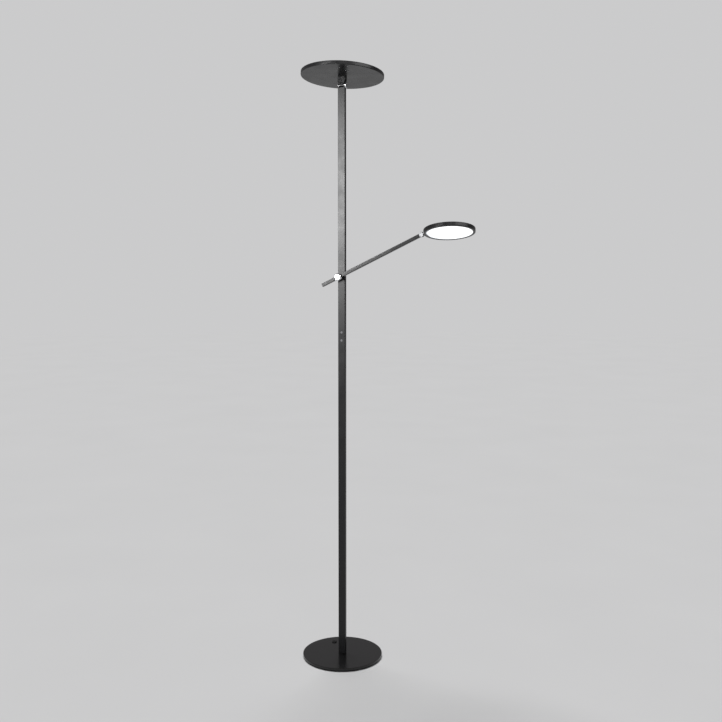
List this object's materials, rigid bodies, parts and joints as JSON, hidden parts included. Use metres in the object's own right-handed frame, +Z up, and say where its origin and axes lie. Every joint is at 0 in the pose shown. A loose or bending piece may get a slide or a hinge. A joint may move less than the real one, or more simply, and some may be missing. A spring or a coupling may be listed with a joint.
{
  "type": "torchiere floor lamp",
  "caption": "Slim LED floor lamp: round base, flat rectangular pole, tilting disc uplight on top and a small disc reading light on a pivoting side arm.",
  "frame": {"origin": "on the floor, under the centre of the round base", "axes": "+Z up along the pole, the pole's front face looks to -Y, the reading arm reaches towards +X"},
  "size_m": [0.5463, 0.2531, 1.821],
  "materials": {
    "base_paint": "satin",
    "body_paint": "matte",
    "chrome": "polished",
    "steel": "satin",
    "button_metal": "satin",
    "rubber": "matte",
    "cable_sheath": "satin",
    "black_plastic": "matte",
    "bearing_plastic": "satin",
    "grey_plastic": "satin",
    "circuit_board": "satin",
    "led_board": "matte",
    "led": "satin",
    "white_plastic": "satin",
    "uplight_opal": "satin",
    "reading_opal": "satin"
  },
  "bodies": {
    "stand": {"base_pad": "rubber", "base_plate": "base_paint", "base_screws": "steel", "cable_gland": "rubber", "supply_cable": "cable_sheath", "pole_foot_block": "steel", "pole_tube": "body_paint", "button_guide": "black_plastic", "dimmer_board": "circuit_board", "board_components": "black_plastic", "board_switches": "black_plastic", "uplight_lead": "cable_sheath", "arm_feed_lead": "cable_sheath", "arm_pivot_block": "steel", "arm_pivot_bolt": "steel", "arm_spacer": "body_paint", "arm_washers": "steel", "arm_pivot_knob": "chrome", "pole_top_fork": "body_paint", "top_fork_screws": "steel", "uplight_hinge_pins": "steel", "uplight_hinge_washers": "steel", "uplight_side_cap": "chrome"},
    "uplight_head": {"uplight_neck": "body_paint", "uplight_housing": "body_paint", "uplight_neck_screws": "steel", "uplight_led_board": "led_board", "uplight_leds": "led", "uplight_board_screws": "steel", "uplight_reflector": "white_plastic", "uplight_diffuser": "uplight_opal", "uplight_bezel": "body_paint"},
    "arm": {"arm_tube": "body_paint", "arm_tail_cap": "body_paint", "arm_pivot_bush": "bearing_plastic", "arm_lead": "cable_sheath", "arm_end_fork": "body_paint", "arm_end_screw": "steel", "head_hinge_pin": "steel", "head_hinge_cap": "chrome"},
    "knuckle": {"head_knuckle": "body_paint", "twist_retaining_ring": "steel"},
    "reading_head": {"reading_housing": "body_paint", "twist_bearing": "bearing_plastic", "reading_led_board": "led_board", "reading_leds": "led", "reading_board_screws": "steel", "reading_reflector": "white_plastic", "reading_diffuser": "reading_opal", "reading_bezel": "body_paint", "reading_joint_cover": "grey_plastic"},
    "uplight_switch": {"uplight_button": "button_metal"},
    "reading_switch": {"reading_button": "button_metal"}
  },
  "joints": [
    {"name": "uplight_tilt", "type": "hinge", "parent": "stand", "child": "uplight_head", "pos_m": [0, 0, 1.7715], "axis": [1, 0, 0], "range_deg": [-38.6, 51.4]},
    {"name": "arm_pivot", "type": "hinge", "parent": "stand", "child": "arm", "pos_m": [0, -0.024, 1.2007], "axis": [0, 1, 0], "range_deg": [-34.6, 75.4]},
    {"name": "head_hinge", "type": "hinge", "parent": "arm", "child": "knuckle", "pos_m": [0.26332, -0.024, 1.32573], "axis": [0, 1, 0], "range_deg": [-50, 75]},
    {"name": "head_twist", "type": "hinge", "parent": "knuckle", "child": "reading_head", "pos_m": [0.26332, -0.024, 1.32573], "axis": [0.9942, 0, 0.108], "range_deg": [-61.6, 88.4]},
    {"name": "uplight_button_press", "type": "slide", "parent": "stand", "child": "uplight_switch", "axis": [0, 1, 0], "range_m": [0, 0.0008], "stiffness_N_per_m": 600},
    {"name": "reading_button_press", "type": "slide", "parent": "stand", "child": "reading_switch", "axis": [0, 1, 0], "range_m": [0, 0.0008], "stiffness_N_per_m": 600}
  ]
}
